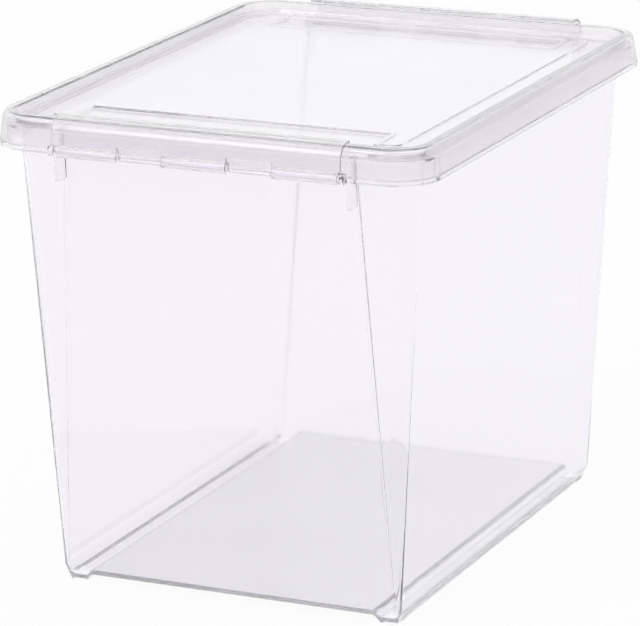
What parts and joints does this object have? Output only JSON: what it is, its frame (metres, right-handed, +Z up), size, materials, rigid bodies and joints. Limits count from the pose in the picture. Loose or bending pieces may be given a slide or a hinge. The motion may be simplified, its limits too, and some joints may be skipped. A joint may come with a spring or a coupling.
{
  "type": "file box",
  "caption": "Clear tapered storage box for papers, with a lift-off lid held by a long hinged clip handle on each short side.",
  "frame": {"origin": "middle of the footprint, on the ground under the tub", "axes": "+Z up, +Y along the long side towards the back clip, +X along the short side; the front clip is at -Y"},
  "size_m": [0.3086, 0.4166, 0.3258],
  "materials": {
    "clear_body": "clear, polished",
    "clear_lid": "clear, polished",
    "clear_clip": "clear, slightly milky"
  },
  "bodies": {
    "tub": {"tub": "clear_body"},
    "lid": {"lid": "clear_lid"},
    "front_clip": {"front_clip": "clear_clip"},
    "back_clip": {"back_clip": "clear_clip"}
  },
  "joints": [
    {"name": "lid_lift", "type": "slide", "parent": "tub", "child": "lid", "axis": [0, 0, 1], "range_m": [0, 0.035]},
    {"name": "front_clip_hinge", "type": "hinge", "parent": "tub", "child": "front_clip", "pos_m": [0, -0.2043, 0.304], "axis": [1, 0, 0], "range_deg": [0, 170]},
    {"name": "back_clip_hinge", "type": "hinge", "parent": "tub", "child": "back_clip", "pos_m": [0, 0.2043, 0.304], "axis": [-1, 0, 0], "range_deg": [0, 170]}
  ],
  "couplings": [
    {"joint": "front_clip_hinge", "follows": "lid_lift", "rad_per_m": 84.5},
    {"joint": "back_clip_hinge", "follows": "lid_lift", "rad_per_m": 84.5}
  ]
}
